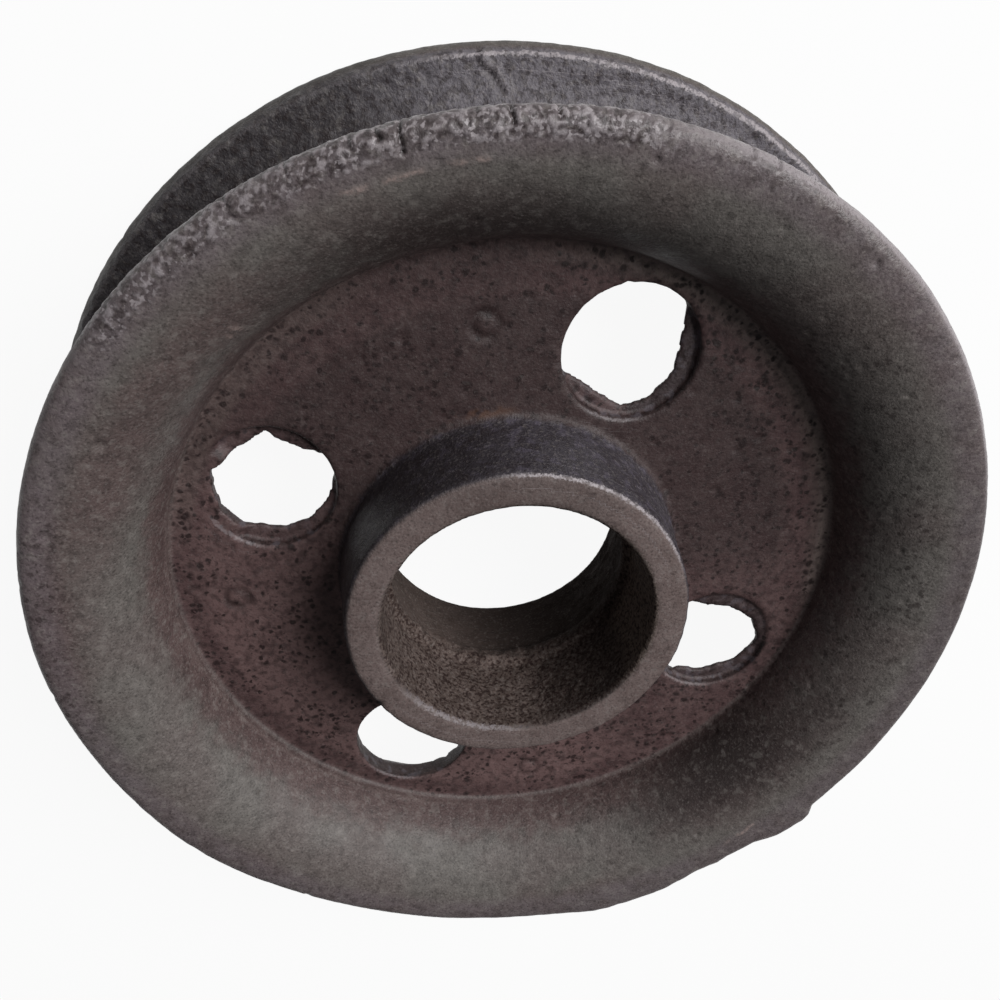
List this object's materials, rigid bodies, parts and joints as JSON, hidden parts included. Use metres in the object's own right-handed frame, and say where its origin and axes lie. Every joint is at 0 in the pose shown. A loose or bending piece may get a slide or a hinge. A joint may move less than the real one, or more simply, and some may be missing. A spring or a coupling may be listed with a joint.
{
  "type": "grooved pulley",
  "caption": "Raw cast iron pulley with a half-round groove, rolled flanges, a holed web and a plain hub with an unmachined bore.",
  "frame": {"origin": "centre of the bore at the middle plane of the web", "axes": "+Z along the bore, towards the front side with the pin marks; the pulley lies flat on its rear flange"},
  "size_m": [0.1518, 0.1518, 0.0366],
  "materials": {
    "cast_iron": "raw sand-cast, dull, lightly rusted"
  },
  "bodies": {
    "root": {"pulley": "cast_iron"}
  },
  "joints": []
}
